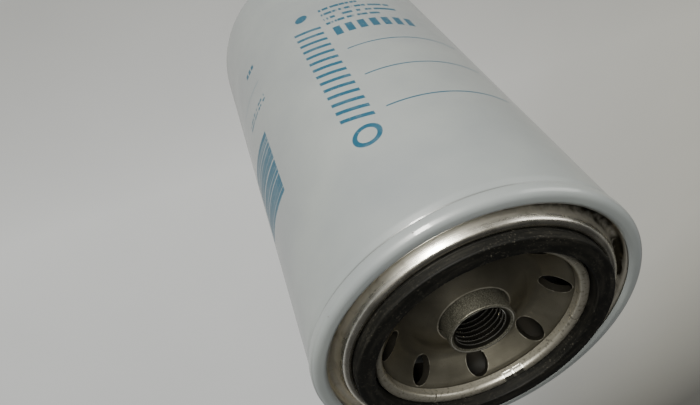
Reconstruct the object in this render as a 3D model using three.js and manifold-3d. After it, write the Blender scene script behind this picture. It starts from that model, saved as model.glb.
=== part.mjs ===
// A spin-on fuel filter, built as it comes apart: a drawn steel can, a stamped gasket retainer locked
// into its mouth, a dished base plate with a threaded hub, and a pleated element held up by a coil spring.
// Millimetres, +Z up. The filter stands on its closed end at z = 0 and its threaded mouth is at the top.

import * as THREE from "three";
import { mergeVertices } from "three/addons/utils/BufferGeometryUtils.js";
import Module from "manifold-3d";

const wasm = await Module();
wasm.setup();

// ---------------------------------------------------------------------------------------------------
// Driving dimensions
// ---------------------------------------------------------------------------------------------------

// Can: a deep-drawn steel cup
const canRadius = 46.5;
const canHeight = 174; // from the closed end to the inner edge of the seam
const canWall = 0.8;
const canCorner = 9.3;
const footWidth = 7; // flat ring that the closed end stands on
const panelRecess = 1.5;
const panelSlope = 2; // run of the step between foot and panel
const panelRound = 1.6;

// Neck and rolled seam at the mouth
const shoulderDrop = 5.6; // below the seam's inner edge, where the can has its full radius again
const neckDrop = 3.2;
const neckStep = 0.7;
const shoulderRound = 1.6;
const neckRound = 0.4;
const seamBulge = 0.4; // seam outside the can
const seamWidth = 4.2;
const seamCrown = 0.9;
const seamLower = 2.2;
const seamRound = 1.9;
const seamEdgeRound = 0.8;
const seamInnerRun = 0.7;

// Gasket retainer: thin stamped ring between can and gasket
const retainerWall = 0.8;
const flangeDrop = 0.75;
const flangeClearance = 0.6; // flange edge to the seam's inside
const troughDrop = 3.4;
const troughWidth = 1.9;
const ridgeRun = 2;
const ridgeRise = 1.2;
const ridgeWidth = 2.1;
const lipWidth = 2.8;
const lipRise = 1.1; // top of the lip above the seam's inner edge
const lipClearance = 0.2; // between the lip's edge and the plate
const flangeRound = 0.8;
const troughRound = 1;
const ridgeRound = 1.4;
const grooveRound = 1;
const lipRound = 1.2;

// Main gasket: square-section rubber ring
const gasketWidth = 5.1;
const gasketHeight = 5.4;
const gasketStandProud = 4; // above the seam's inner edge
const gasketClearance = 0.2;
const gasketEdge = 0.4;

// Base plate: thick dished plate with inlet holes
const plateWall = 2.5;
const plateOverlap = 2.3; // plate reaches this far outside the gasket
const valleyDrop = 8.8;
const floorWidth = 3.3; // nearly flat ring between the cone and the flank
const floorRise = 0.2;
const flankSetback = 0.4; // top of the flank, inside the retainer's lip
const coneRun = 7.6;
const coneRise = 3.7;
const inletCount = 8;
const inletHalfLength = 3.15; // seen along the axis, radially
const inletHalfWidth = 3.15;
const inletSetback = 3.7; // from the retainer's lip to the centre of an inlet
const plateRimRound = 2.5;
const floorRound = 2;
const valleyRound = 3.3;

// Threaded hub: M16 x 1.5
const hubRadius = 9.6;
const hubGap = 0.9; // bare ring between hub and plate
const threadMajor = 8;
const threadMinor = 7.19;
const threadPitch = 1.5;
const threadTurns = 9;
const boreChamfer = 0.4;
const boreCountersink = 0.8;
const hubRelief = 0.2;
const hubFlangeWidth = 5.9;
const hubFlangeRim = 3;
const spigotLength = 16; // below the hub's flange

// Filter element
const grommetWall = 3.8;
const grommetLip = 1.9; // grommet outside its groove
const grommetAbove = 6.6;
const grommetBelow = 4.2;
const capWall = 0.8;
const capAnnulus = 4.2; // fuel passage between can and end caps
const capRim = 7;
const capRound = 1.6;
const bossRound = 0.8;
const pottingDepth = 3.2;
const tubeRadius = 16.8;
const tubeWall = 0.8;
const tubeRows = 5;
const tubeColumns = 6;
const tubeHoleRadius = 3;
const tubePlainEnd = 12;
const pleatCount = 36;
const mediaThickness = 0.8;
const mediaSetback = 0.9; // inside the end cap's rim
const outerFold = 0.8; // half width of a fold
const innerFold = 0.5;
const clipWall = 0.6;
const clipLeg = 6;
const bandCount = 4;
const bandWidth = 2.4;
const bandThickness = 0.7;

// Spring and its seat
const springRadius = 17;
const springWire = 2.4;
const springHeight = 18; // as fitted
const springTurns = 4.5;
const springEndTurns = 0.8;
const seatWall = 0.8;
const seatMargin = 2.6;
const seatRimHeight = 2.6;
const bossMargin = 1.6;
const bossDepth = 2.2;

// Fits
const contactGap = 0.02; // faces that rest on each other
const slipFit = 0.1; // pieces that slide past or slip over each other
const looseFit = 0.15;

// Facets
const ringSegments = 32;
const hubSegments = 16; // every second facet edge lines up with the larger rings
const tubeSegments = 16;
const filletTolerance = 0.2; // how far a fillet's chords may stray from its arc
const wireSides = 6;
const springStepsPerTurn = 10;
const cutterSegments = 20;
const tubeHoleSegments = 8;

// ---------------------------------------------------------------------------------------------------
// Levels and radii that follow from them
// ---------------------------------------------------------------------------------------------------

const seamRadius = canRadius + seamBulge;
const seamInner = seamRadius - seamWidth;
const neckRadius = canRadius - neckStep;
const canBore = canRadius - canWall;

const flangeTop = canHeight - flangeDrop;
const flangeRadius = seamRadius - canWall - flangeClearance;
const wallRadius = seamInner - 2 * slipFit;
const troughInner = wallRadius - troughWidth;
const ridgeOuter = troughInner - ridgeRun;
const grooveOuter = ridgeOuter - ridgeWidth;
const gasketOuter = grooveOuter - gasketClearance;
const gasketInner = gasketOuter - gasketWidth;
const grooveInner = gasketInner - gasketClearance;
const gasketTop = canHeight + gasketStandProud;
const gasketBottom = gasketTop - gasketHeight;
const grooveFloor = gasketBottom - contactGap;
const lipInner = grooveInner - lipWidth;

const plateTop = grooveFloor - retainerWall - contactGap;
const plateRadius = gasketOuter + plateOverlap;
const plateHole = hubRadius + hubGap;
const valleyRadius = plateHole + coneRun;
const valleyLevel = canHeight - valleyDrop;
const coneSlope = coneRise / coneRun;
const inletRadius = lipInner - inletSetback;

const hubFlangeRadius = hubRadius + hubFlangeWidth;
const hubFlangeBottom = coneUnderside(hubFlangeRadius) - contactGap - hubFlangeRim;
const spigotEnd = hubFlangeBottom - spigotLength;

const grommetTop = hubFlangeBottom - contactGap;
const grommetInner = hubRadius + slipFit;
const grommetOuter = grommetInner + grommetWall;
const grommetGroove = grommetOuter - grommetLip;
const topCapLevel = grommetTop - grommetAbove; // upper face of the top end cap
const capRadius = canBore - capAnnulus;
const capBore = capRadius - capWall;

const panelTop = panelRecess + canWall;
const seatFloor = panelTop + contactGap + seatWall;
const bottomCapLevel = seatFloor + springHeight; // lower face of the bottom end cap
const mediaBottom = bottomCapLevel + capWall + pottingDepth + 2 * contactGap;
const mediaTop = topCapLevel - capWall - pottingDepth - 2 * contactGap;
const mediaOuter = capBore - mediaSetback;
const mediaInner = tubeRadius + looseFit;
const mediaMiddle = (mediaTop + mediaBottom) / 2;

// Underside of the plate's central cone, at a given radius
function coneUnderside(radius) {
  const upper = valleyLevel + coneSlope * (valleyRadius - radius);
  return upper - plateWall * Math.hypot(1, coneSlope);
}

// ---------------------------------------------------------------------------------------------------
// Profile helpers
// ---------------------------------------------------------------------------------------------------

function point(radius, height) {
  return new THREE.Vector2(radius, height);
}

// Arc that rounds one corner of a path
function filletArc(previous, corner, next, radius) {
  const toPrevious = previous.clone().sub(corner).normalize();
  const toNext = next.clone().sub(corner).normalize();
  const half = Math.acos(toPrevious.dot(toNext)) / 2;
  const reach = radius / Math.tan(half);
  const middle = toPrevious.clone().add(toNext).normalize();
  const centre = corner.clone().addScaledVector(middle, radius / Math.sin(half));
  const start = corner.clone().addScaledVector(toPrevious, reach);
  const sweep = (Math.PI - 2 * half) * -Math.sign(toPrevious.cross(toNext));
  const widestStep = 2 * Math.acos(Math.max(0, 1 - filletTolerance / radius));
  const steps = Math.ceil(Math.abs(sweep) / widestStep);
  return Array.from({ length: steps + 1 }, (_, i) =>
    start.clone().rotateAround(centre, (sweep * i) / steps),
  );
}

// Path through corners given as [radius, height, fillet]; the first and last corners stay sharp
function filletedPath(corners) {
  const points = corners.map(([radius, height]) => point(radius, height));
  return points.flatMap((corner, i) => {
    const fillet = corners[i][2];
    return fillet ? filletArc(points[i - 1], corner, points[i + 1], fillet) : [corner];
  });
}

// The same path moved sideways, to the left of its direction when distance is positive
function offsetPath(points, distance, closed = false) {
  const count = points.length;
  const leftOf = (from, to) => point(from.y - to.y, to.x - from.x).normalize();
  return points.map((here, i) => {
    const before = closed || i > 0 ? points[(i + count - 1) % count] : null;
    const after = closed || i < count - 1 ? points[(i + 1) % count] : null;
    const normalBefore = leftOf(before ?? here, before ? here : after);
    const normalAfter = leftOf(after ? here : before, after ?? here);
    const middle = normalBefore.clone().add(normalAfter).normalize();
    return here.clone().addScaledVector(middle, distance / middle.dot(normalAfter));
  });
}

// Section of a pressed cup whose middle is closed: its face runs from the axis outwards
function cupSection(corners, thickness) {
  const section = sheetSection(corners, thickness);
  section[section.length - 1].x = 0;
  return section;
}

// Section of a pressed sheet: one face given as a path, and the sheet's thickness to its left
function sheetSection(corners, thickness) {
  const face = filletedPath(corners);
  return [...face, ...offsetPath(face, thickness).reverse()];
}

// Solid of revolution about Z from a section given in either direction
function revolve(section, segments = ringSegments) {
  const outward = THREE.ShapeUtils.area(section) > 0 ? section : [...section].reverse();
  return new THREE.LatheGeometry([...outward, outward[0]], segments).rotateX(Math.PI / 2);
}

function ring(inner, outer, bottom, top, segments = ringSegments) {
  return revolve(
    [point(inner, bottom), point(outer, bottom), point(outer, top), point(inner, top)],
    segments,
  );
}

// Prism of a plane outline between two heights
function prism(outline, bottom, top, hole) {
  const shape = new THREE.Shape(outline);
  if (hole) shape.holes.push(new THREE.Path(hole));
  const geometry = new THREE.ExtrudeGeometry(shape, { depth: top - bottom, bevelEnabled: false });
  return geometry.translate(0, 0, bottom);
}

// ---------------------------------------------------------------------------------------------------
// Boolean helpers
// ---------------------------------------------------------------------------------------------------

function toSolid(geometry) {
  const bare = geometry.clone().deleteAttribute("normal").deleteAttribute("uv");
  const merged = mergeVertices(bare);
  return new wasm.Manifold(
    new wasm.Mesh({
      numProp: 3,
      vertProperties: merged.attributes.position.array,
      triVerts: new Uint32Array(merged.index.array),
    }),
  );
}

function toGeometry(solid) {
  const mesh = solid.getMesh();
  const geometry = new THREE.BufferGeometry();
  geometry.setAttribute("position", new THREE.BufferAttribute(mesh.vertProperties, mesh.numProp));
  geometry.setIndex(new THREE.BufferAttribute(mesh.triVerts, 1));
  geometry.computeVertexNormals();
  return geometry;
}

function cut(body, cutters) {
  const cutSolid = cutters.reduce((solid, cutter) => solid.subtract(toSolid(cutter)), toSolid(body));
  return toGeometry(cutSolid);
}

// ---------------------------------------------------------------------------------------------------
// Housing
// ---------------------------------------------------------------------------------------------------

// The can's outer face, from the middle of its closed end up the side and over the rolled seam
function canShell() {
  const footOuter = canRadius - canCorner;
  const footInner = footOuter - footWidth;
  const crownLevel = canHeight + seamCrown;
  const face = [
    [0, panelRecess],
    [footInner - panelSlope, panelRecess, panelRound],
    [footInner, 0, panelRound],
    [canRadius, 0, canCorner],
    [canRadius, canHeight - shoulderDrop, shoulderRound],
    [neckRadius, canHeight - neckDrop, neckRound],
    [seamRadius, canHeight - seamLower, seamEdgeRound],
    [seamRadius, crownLevel, seamRound],
    [seamInner + seamInnerRun, crownLevel, seamEdgeRound],
    [seamInner, canHeight],
  ];
  return revolve(cupSection(face, canWall));
}

// Sealing compound squeezed between the retainer's flange and the crown of the seam
function seamCompound() {
  const bottom = flangeTop + contactGap;
  const top = canHeight + seamCrown - canWall - 2 * slipFit;
  return ring(seamInner + seamInnerRun + canWall, seamRadius - seamRound - slipFit, bottom, top);
}

// Upper face from the flange inside the seam, through trough, ridge and gasket groove, to the rolled lip
function gasketRetainer() {
  const troughFloor = canHeight - troughDrop;
  const ridgeTop = canHeight + ridgeRise;
  const lipTop = canHeight + lipRise;
  const face = [
    [flangeRadius, flangeTop],
    [wallRadius, flangeTop, flangeRound],
    [wallRadius, troughFloor, troughRound],
    [troughInner, troughFloor, troughRound],
    [ridgeOuter, ridgeTop, ridgeRound],
    [grooveOuter, ridgeTop, grooveRound],
    [grooveOuter, grooveFloor],
    [grooveInner, grooveFloor],
    [grooveInner, lipTop, lipRound],
    [lipInner, lipTop, lipRound],
    [lipInner, plateTop + lipClearance],
  ];
  return revolve(sheetSection(face, retainerWall));
}

function mainGasket() {
  return revolve([
    point(gasketInner, gasketBottom),
    point(gasketOuter, gasketBottom),
    point(gasketOuter, gasketTop - gasketEdge),
    point(gasketOuter - gasketEdge, gasketTop),
    point(gasketInner + gasketEdge, gasketTop),
    point(gasketInner, gasketTop - gasketEdge),
  ]);
}

function inletCutter(index) {
  const outline = new THREE.EllipseCurve(inletRadius, 0, inletHalfLength, inletHalfWidth);
  const height = gasketHeight + valleyDrop + plateWall;
  const cutter = prism(outline.getPoints(cutterSegments).slice(0, -1), canHeight - height, canHeight);
  return cutter.rotateZ((index * 2 * Math.PI) / inletCount);
}

function basePlate() {
  const floorRadius = valleyRadius + floorWidth;
  const coneTip = hubRadius / 2; // the cone is pressed this far in, then the hub hole is cut from it
  const face = [
    [plateRadius, plateTop],
    [lipInner - flankSetback, plateTop, plateRimRound],
    [floorRadius, valleyLevel + floorRise, floorRound],
    [valleyRadius, valleyLevel, valleyRound],
    [coneTip, valleyLevel + coneSlope * (valleyRadius - coneTip)],
  ];
  const plate = revolve(sheetSection(face, plateWall));
  const hubCutter = ring(0, plateHole, valleyLevel - 2 * plateWall, canHeight);
  const inlets = Array.from({ length: inletCount }, (_, i) => inletCutter(i));
  return cut(plate, [hubCutter, ...inlets]);
}

// Hub: threaded through, with a flange that seats under the plate's cone and a spigot for the grommet
function threadedHub() {
  const front = canHeight;
  const threadTop = front - boreChamfer - threadPitch / 2;
  const thread = Array.from({ length: threadTurns }, (_, i) => [
    point(threadMajor, threadTop - (i + 0.5) * threadPitch),
    point(threadMinor, threadTop - (i + 1) * threadPitch),
  ]).flat();
  const threadEnd = threadTop - (threadTurns + 0.5) * threadPitch;
  return revolve(
    [
      point(hubRadius, front - boreChamfer),
      point(hubRadius - boreChamfer, front),
      point(threadMajor + boreCountersink, front),
      point(threadMinor, threadTop),
      ...thread,
      point(threadMajor + hubRelief, threadEnd),
      point(threadMajor + hubRelief, spigotEnd),
      point(hubRadius, spigotEnd),
      point(hubRadius, hubFlangeBottom),
      point(hubFlangeRadius, hubFlangeBottom),
      point(hubFlangeRadius, coneUnderside(hubFlangeRadius) - contactGap),
      point(hubRadius, coneUnderside(hubRadius) - contactGap),
    ],
    hubSegments,
  );
}

// ---------------------------------------------------------------------------------------------------
// Element
// ---------------------------------------------------------------------------------------------------

// Rubber grommet buttoned into the top cap's hole; it slides on the hub's spigot
function elementGrommet() {
  const grooveTop = topCapLevel + contactGap;
  const grooveBottom = topCapLevel - capWall - contactGap;
  return revolve(
    [
      point(grommetInner, grommetTop),
      point(grommetInner, grooveBottom - grommetBelow),
      point(grommetOuter - grommetLip / 2, grooveBottom - grommetBelow),
      point(grommetOuter, grooveBottom),
      point(grommetGroove, grooveBottom),
      point(grommetGroove, grooveTop),
      point(grommetOuter, grooveTop),
      point(grommetOuter - grommetLip / 2, grommetTop),
    ],
    hubSegments,
  );
}

function topEndCap() {
  const hole = grommetGroove + slipFit;
  const face = [
    [capRadius, topCapLevel - capRim],
    [capRadius, topCapLevel, capRound],
    [hole, topCapLevel],
  ];
  return revolve(sheetSection(face, capWall));
}

// Closed cap; its pressed boss centres the spring
function bottomEndCap() {
  const bossRadius = springRadius - springWire / 2 - bossMargin;
  const face = [
    [0, bottomCapLevel - bossDepth],
    [bossRadius - bossDepth, bottomCapLevel - bossDepth, bossRound],
    [bossRadius, bottomCapLevel, bossRound],
    [capRadius, bottomCapLevel, capRound],
    [capRadius, bottomCapLevel + capRim],
  ];
  return revolve(cupSection(face, capWall));
}

// Adhesive that sets the ends of the pleats into a cap
function potting(bottom) {
  return revolve([
    point(tubeRadius + slipFit, bottom),
    point(capBore - capRound, bottom),
    point(capBore - slipFit, bottom + pottingDepth),
    point(tubeRadius + slipFit, bottom + pottingDepth),
  ]);
}

function topPotting() {
  const top = topCapLevel - capWall - contactGap;
  return potting(-pottingDepth).rotateX(Math.PI).translate(0, 0, top - pottingDepth);
}

function bottomPotting() {
  return potting(bottomCapLevel + capWall + contactGap);
}

// Perforated tube that keeps the pleats from collapsing inwards
function centreTube() {
  const bottom = bottomCapLevel + capWall + contactGap;
  const top = topCapLevel - capWall - contactGap;
  const body = ring(tubeRadius - tubeWall, tubeRadius, bottom, top, tubeSegments);
  const rowPitch = (top - bottom - 2 * tubePlainEnd) / (tubeRows - 1);
  const cutters = [];
  for (let row = 0; row < tubeRows; row += 1) {
    for (let column = 0; column < tubeColumns / 2; column += 1) {
      const turn = ((column + (row % 2) / 2) * 2 * Math.PI) / tubeColumns;
      const cutter = new THREE.CylinderGeometry(
        tubeHoleRadius,
        tubeHoleRadius,
        4 * tubeRadius,
        tubeHoleSegments,
      );
      cutters.push(cutter.rotateZ(turn).translate(0, 0, bottom + tubePlainEnd + row * rowPitch));
    }
  }
  return cut(body, cutters);
}

// Middle line of the folded paper; the first pleat is lower, to make room for the clip on its fold
function pleatLine() {
  const step = (2 * Math.PI) / pleatCount;
  const outer = mediaOuter - mediaThickness / 2;
  const inner = mediaInner + mediaThickness / 2;
  const at = (radius, angle) => point(radius * Math.cos(angle), radius * Math.sin(angle));
  return Array.from({ length: pleatCount }, (_, i) => {
    const tip = i === 0 ? outer - clipWall - looseFit : outer;
    return [
      at(tip, i * step - outerFold / outer),
      at(tip, i * step + outerFold / outer),
      at(inner, (i + 0.5) * step - innerFold / inner),
      at(inner, (i + 0.5) * step + innerFold / inner),
    ];
  }).flat();
}

function pleatedMedia() {
  const line = pleatLine();
  const outline = offsetPath(line, -mediaThickness / 2, true);
  const hole = offsetPath(line, mediaThickness / 2, true);
  return prism(outline, mediaBottom, mediaTop, hole);
}

// Metal strip folded over the pleat where the paper's two ends meet
function mediaSeamClip() {
  const innerHalf = outerFold + mediaThickness / 2 + looseFit;
  const outerHalf = innerHalf + clipWall;
  const outerX = mediaOuter;
  const innerX = outerX - clipWall;
  const legX = innerX - clipLeg;
  const outline = [
    point(legX, -outerHalf),
    point(outerX, -outerHalf),
    point(outerX, outerHalf),
    point(legX, outerHalf),
    point(legX, innerHalf),
    point(innerX, innerHalf),
    point(innerX, -innerHalf),
    point(legX, -innerHalf),
  ];
  return prism(outline, mediaBottom, mediaTop);
}

// Bead of adhesive thread wound round the outer folds
function pleatBand(index) {
  const open = mediaTop - mediaBottom - 2 * capRim;
  const pitch = open / (bandCount + 1);
  const middle = mediaMiddle + (index - (bandCount - 1) / 2) * pitch;
  const inner = mediaOuter + 2 * looseFit;
  return ring(inner, inner + bandThickness, middle - bandWidth / 2, middle + bandWidth / 2);
}

// ---------------------------------------------------------------------------------------------------
// Spring
// ---------------------------------------------------------------------------------------------------

// Helix whose end turns close up on themselves
class SpringCurve extends THREE.Curve {
  getPoint(t, target = new THREE.Vector3()) {
    const bottom = seatFloor + contactGap + springWire / 2;
    const rise = springHeight - 2 * contactGap - springWire;
    const endPitch = springWire + 2 * looseFit;
    const endShare = springEndTurns / springTurns;
    const endRise = (springEndTurns * endPitch) / rise;
    const middleShare = (t - endShare) / (1 - 2 * endShare);
    const lower = (t / endShare) * endRise;
    const upper = 1 - ((1 - t) / endShare) * endRise;
    const middle = endRise + middleShare * (1 - 2 * endRise);
    const share = t < endShare ? lower : t > 1 - endShare ? upper : middle;
    const angle = t * springTurns * 2 * Math.PI;
    return target.set(
      springRadius * Math.cos(angle),
      springRadius * Math.sin(angle),
      bottom + share * rise,
    );
  }
}

function coilSpring() {
  const section = new THREE.Shape();
  for (let i = 0; i < wireSides; i += 1) {
    const angle = ((i + 0.5) * 2 * Math.PI) / wireSides;
    const x = (springWire / 2) * Math.cos(angle);
    const y = (springWire / 2) * Math.sin(angle);
    if (i === 0) section.moveTo(x, y);
    else section.lineTo(x, y);
  }
  return new THREE.ExtrudeGeometry(section, {
    steps: Math.round(springTurns * springStepsPerTurn),
    extrudePath: new SpringCurve(),
  });
}

// Pressed channel that keeps the spring centred on the closed end
function springSeat() {
  const outer = springRadius + springWire / 2 + seatMargin;
  const inner = springRadius - springWire / 2 - bossMargin;
  const face = [
    [outer, seatFloor + seatRimHeight],
    [outer - seatWall, seatFloor, seatWall],
    [inner, seatFloor],
  ];
  return revolve(sheetSection(face, seatWall));
}

// ---------------------------------------------------------------------------------------------------
// Materials and assembly
// ---------------------------------------------------------------------------------------------------

function material(color, roughness, metalness) {
  return new THREE.MeshStandardMaterial({ color, roughness, metalness });
}

const whitePaint = () => material("#d9dcdc", 0.4, 0.1);
const tinplate = () => material("#b7b3a6", 0.3, 0.9);
const greySteel = () => material("#6a655c", 0.5, 0.8);
const darkSteel = () => material("#4d4a45", 0.55, 0.7);
const blackRubber = () => material("#1c1b1a", 0.8, 0);
const springSteel = () => material("#8a8d90", 0.35, 0.9);
const zincSteel = () => material("#a3a6a8", 0.4, 0.85);
const filterPaper = () => material("#c8a872", 0.95, 0);
const plastisol = () => material("#8f3327", 0.7, 0);
const adhesive = () => material("#e4dcc4", 0.6, 0);
const greyCompound = () => material("#7b7f80", 0.9, 0);

const assembly = new THREE.Group();

function add(parent, name, geometry, meshMaterial) {
  const mesh = new THREE.Mesh(geometry, meshMaterial);
  mesh.name = name;
  parent.add(mesh);
}

const housing = new THREE.Group();
add(housing, "can_shell", canShell(), whitePaint());
add(housing, "seam_compound", seamCompound(), greyCompound());
add(housing, "gasket_retainer", gasketRetainer(), tinplate());
add(housing, "main_gasket", mainGasket(), blackRubber());
add(housing, "base_plate", basePlate(), greySteel());
add(housing, "threaded_hub", threadedHub(), darkSteel());
add(housing, "spring_seat", springSeat(), zincSteel());
add(housing, "coil_spring", coilSpring(), springSteel());

const element = new THREE.Group();
add(element, "element_grommet", elementGrommet(), blackRubber());
add(element, "top_end_cap", topEndCap(), zincSteel());
add(element, "top_potting", topPotting(), plastisol());
add(element, "pleated_media", pleatedMedia(), filterPaper());
add(element, "media_seam_clip", mediaSeamClip(), zincSteel());
add(element, "centre_tube", centreTube(), zincSteel());
add(element, "bottom_potting", bottomPotting(), plastisol());
add(element, "bottom_end_cap", bottomEndCap(), zincSteel());
for (let i = 0; i < bandCount; i += 1) {
  add(element, `pleat_band_${i + 1}`, pleatBand(i), adhesive());
}

assembly.add(housing, element);

export default assembly;
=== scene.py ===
# %% [markdown]
# # A spin-on fuel filter
# The filter is a painted steel can that screws onto a threaded stud. Nearly every piece of it is round
# about one axis, so most of the work here is one move: draw half a section, round its corners, and spin it
# about Z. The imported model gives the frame, and every size below is read from it or set beside the piece
# that needs it.

import math

import bmesh
import bpy
from mathutils import Matrix, Vector


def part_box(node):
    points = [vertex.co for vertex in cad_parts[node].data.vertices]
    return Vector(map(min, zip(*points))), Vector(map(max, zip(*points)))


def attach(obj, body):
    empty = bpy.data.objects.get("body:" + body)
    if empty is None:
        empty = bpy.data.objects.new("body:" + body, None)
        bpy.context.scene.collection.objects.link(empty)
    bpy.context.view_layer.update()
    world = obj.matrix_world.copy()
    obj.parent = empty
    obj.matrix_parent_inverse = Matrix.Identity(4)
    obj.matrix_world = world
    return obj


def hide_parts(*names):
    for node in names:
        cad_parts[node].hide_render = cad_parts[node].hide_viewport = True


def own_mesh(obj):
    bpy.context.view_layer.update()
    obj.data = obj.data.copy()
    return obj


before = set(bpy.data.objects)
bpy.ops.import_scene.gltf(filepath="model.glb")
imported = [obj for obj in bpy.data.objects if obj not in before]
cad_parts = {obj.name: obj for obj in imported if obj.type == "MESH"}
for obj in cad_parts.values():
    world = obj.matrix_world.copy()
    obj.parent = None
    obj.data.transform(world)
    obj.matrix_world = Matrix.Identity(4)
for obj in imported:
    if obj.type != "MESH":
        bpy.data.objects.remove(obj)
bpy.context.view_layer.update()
mm = 0.001
print("nodes in the frame:", len(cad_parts))

# %% [markdown]
# ## Turning a section
# A lathe operator rounds corners with a form tool. Here a vertex bevel on a bare wire does the same: each
# corner of the section says how far back it is cut, and the bevel puts an arc there. The spin then makes
# the ring. It merges its own ends, and the doubles left on the axis are merged after it, before the normals
# are worked out again.

# %% Sections and spinning
FINE_STEPS = 240  # rings that are seen close up
INNER_STEPS = 96  # rings inside the can
ARC_STEPS = 6
MERGE_DISTANCE = 1e-6


def bent_wire(bm, places):
    """Vertices at these places, joined one after the other."""
    verts = [bm.verts.new(place) for place in places]
    for one, other in zip(verts, verts[1:]):
        bm.edges.new((one, other))
    return verts


def round_off(bm, parts, offset, segments, affect="VERTICES", limit=True):
    """Rounds vertices or edges off with an arc."""
    bmesh.ops.bevel(
        bm, geom=parts, offset=offset, offset_type="OFFSET", segments=segments, profile=0.5,
        affect=affect, clamp_overlap=limit, material=-1,
    )


def section(corners, closed=True):
    """A wire in the XZ plane through corners of (radius, height) or (radius, height, rounding)."""
    bm = bmesh.new()
    verts = bent_wire(bm, [(corner[0], 0, corner[1]) for corner in corners])
    if closed:
        bm.edges.new((verts[-1], verts[0]))
    for vert, corner in zip(verts, corners):
        if len(corner) == 3:
            round_off(bm, [vert], corner[2], ARC_STEPS, limit=False)
    return bm


def spin_round(bm, steps):
    """Spins everything in bm once about Z and closes it."""
    bmesh.ops.spin(
        bm, geom=bm.verts[:] + bm.edges[:], cent=(0, 0, 0), axis=(0, 0, 1), dvec=(0, 0, 0),
        angle=2 * math.pi, steps=steps, use_merge=True, use_duplicate=False,
    )
    bmesh.ops.remove_doubles(bm, verts=bm.verts[:], dist=MERGE_DISTANCE)
    bmesh.ops.recalc_face_normals(bm, faces=bm.faces[:])


# %% [markdown]
# Pressed steel has one thickness everywhere. Only its good face is drawn, and the wall is added behind that
# face with solidify. An open ring has no inside, so the flattest face says which way the good side looks.

# %% Walls and finished pieces
SHARP_ANGLE = math.radians(38)


def add_wall(bm, thickness, looks_up):
    """Gives an open spun sheet its thickness, behind the face that looks up or down."""
    flattest = max(bm.faces, key=lambda face: abs(face.normal.z) * face.calc_area())
    if (flattest.normal.z > 0) != looks_up:
        bmesh.ops.reverse_faces(bm, faces=bm.faces[:])
    bmesh.ops.solidify(bm, geom=bm.faces[:], thickness=thickness)
    bmesh.ops.recalc_face_normals(bm, faces=bm.faces[:])


def smooth_all(mesh):
    """Smooth shading with the real corners kept sharp."""
    bm = bmesh.new()
    bm.from_mesh(mesh)
    for face in bm.faces:
        face.smooth = True
    for edge in bm.edges:
        edge.smooth = len(edge.link_faces) == 2 and edge.calc_face_angle(0) < SHARP_ANGLE
    bm.to_mesh(mesh)
    bm.free()


def to_piece(bm, name):
    """An object in the scene that holds bm's mesh."""
    mesh = bpy.data.meshes.new(name)
    bm.to_mesh(mesh)
    bm.free()
    smooth_all(mesh)
    piece = bpy.data.objects.new(name, mesh)
    bpy.context.scene.collection.objects.link(piece)
    return piece


def stands_for(piece, node, body, finish):
    """Puts a finished piece in the place of a node of the frame."""
    piece.data.materials.clear()
    piece.data.materials.append(finish)
    bpy.context.view_layer.update()
    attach(piece, body)
    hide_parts(node)
    size = piece.dimensions / mm
    print(f"{piece.name}: {len(piece.data.polygons)} faces, {size.x:.1f} x {size.y:.1f} x {size.z:.1f} mm")


def turned_ring(name, corners, steps=INNER_STEPS):
    """A solid ring from a closed section."""
    bm = section(corners)
    spin_round(bm, steps)
    return to_piece(bm, name)


def pressed_ring(name, corners, wall, looks_up, steps=INNER_STEPS):
    """A pressed sheet from the section of its good face."""
    bm = section(corners, closed=False)
    spin_round(bm, steps)
    add_wall(bm, wall, looks_up)
    return to_piece(bm, name)

# %% [markdown]
# ## The camera
# The filter stands on its closed end. The camera hangs above its mouth and looks down into it, rolled so
# far over that the can runs away to the upper left. Place, heading, pitch and roll are set in that order,
# as on a tripod head.

# %% Camera
_, can_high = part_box("can_shell")
SEAM_CROWN = 0.9 * mm
seam_radius = can_high.x
mouth = can_high.z - SEAM_CROWN  # level of the seam's inner edge
VIEW_AZIMUTH = math.radians(105.1)
VIEW_REACH = 137.7 * mm
VIEW_HEIGHT = 81.2 * mm
HEADING = math.radians(-82.3)
PITCH = math.radians(-47.4)
ROLL = math.radians(155.1)
LENS = 29.48
FILM_WIDTH = 36

camera_data = bpy.data.cameras.new("camera")
camera_data.lens = LENS
camera_data.sensor_width = FILM_WIDTH
camera_data.clip_start = 1 * mm
camera = bpy.data.objects.new("camera", camera_data)
bpy.context.scene.collection.objects.link(camera)
bpy.context.scene.camera = camera
stand = Vector((
    VIEW_REACH * math.cos(VIEW_AZIMUTH), VIEW_REACH * math.sin(VIEW_AZIMUTH), mouth + VIEW_HEIGHT,
))
camera.matrix_world = (
    Matrix.Translation(stand)
    @ Matrix.Rotation(HEADING - math.pi / 2, 4, "Z")
    @ Matrix.Rotation(PITCH + math.pi / 2, 4, "X")
    @ Matrix.Rotation(ROLL, 4, "Z")
)
print("camera stands at", [round(value / mm) for value in stand], "mm")

# %% [markdown]
# ## Shader arithmetic
# A material here is a page of sums: a mask is a difference, a clamp and a product. Socket lets those sums
# be written as Python expressions, and each one adds its Math node. Finish holds one material and makes
# every other node.

# %% Sockets that take part in sums
class Socket:
    """An output of a node, usable in sums with numbers and other sockets."""

    def __init__(self, finish, output):
        self.finish = finish
        self.output = output

    def math(self, operation, *values):
        """A Math node of that operation on these values."""
        return self.finish.node("ShaderNodeMath", {"operation": operation}, dict(enumerate(values)))

    def __add__(self, other):
        return self.math("ADD", self, other)

    def __sub__(self, other):
        return self.math("SUBTRACT", self, other)

    def __rsub__(self, other):
        return self.math("SUBTRACT", other, self)

    def __mul__(self, other):
        return self.math("MULTIPLY", self, other)

    def __truediv__(self, other):
        return self.math("DIVIDE", self, other)

    def __rtruediv__(self, other):
        return self.math("DIVIDE", other, self)

    def __pow__(self, other):
        return self.math("POWER", self, other)

    def __abs__(self):
        return self.math("ABSOLUTE", self)

    __radd__ = __add__
    __rmul__ = __mul__


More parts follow.
